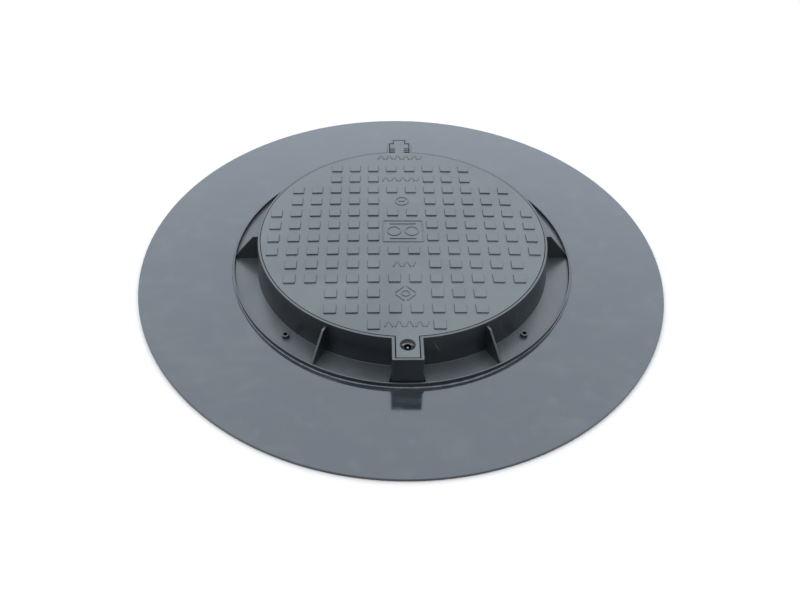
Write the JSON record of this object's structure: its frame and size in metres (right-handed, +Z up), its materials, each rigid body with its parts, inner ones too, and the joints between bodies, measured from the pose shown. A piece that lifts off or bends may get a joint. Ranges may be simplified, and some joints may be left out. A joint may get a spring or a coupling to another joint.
{
  "type": "manhole cover",
  "caption": "Round hinged and locked access cover with a square-tread domed lid in a ribbed frame ring, welded to a large flat round skirt plate.",
  "frame": {"origin": "centre of the skirt plate's underside, on the cover's vertical axis", "axes": "+Z up through the lid, +Y towards the hinge, -Y towards the lock"},
  "size_m": [1.2, 1.2, 0.095],
  "materials": {
    "skirt_plastic": "glossy black polyethylene sheet with faint scuffs",
    "weld_plastic": "glossy black polyethylene weld bead",
    "frame_plastic": "satin black moulded polymer",
    "lid_plastic": "satin black moulded polymer with fine grain",
    "gasket_rubber": "black sealing rubber",
    "zinc_steel": "zinc-plated steel",
    "lock_metal": "turned stainless steel"
  },
  "bodies": {
    "frame_assembly": {"skirt_plate": "skirt_plastic", "weld_bead": "weld_plastic", "inner_weld_bead": "weld_plastic", "frame": "frame_plastic", "lid_gasket": "gasket_rubber", "hinge_pin": "zinc_steel", "hinge_plugs": "frame_plastic"},
    "lid": {"lid": "lid_plastic", "lock_gasket": "gasket_rubber", "lock_barrel": "lock_metal", "lock_nut": "zinc_steel"},
    "lock": {"lock_plug": "lock_metal", "lock_cam": "zinc_steel", "cam_washer": "zinc_steel", "cam_screw": "zinc_steel"}
  },
  "joints": [
    {"name": "lid_hinge", "type": "hinge", "parent": "frame_assembly", "child": "lid", "pos_m": [0, 0.352, 0.0785], "axis": [-1, 0, 0], "range_deg": [0, 105]},
    {"name": "lock_turn", "type": "hinge", "parent": "lid", "child": "lock", "pos_m": [0, -0.344, 0.06], "axis": [0, 0, -1], "range_deg": [0, 90]}
  ]
}
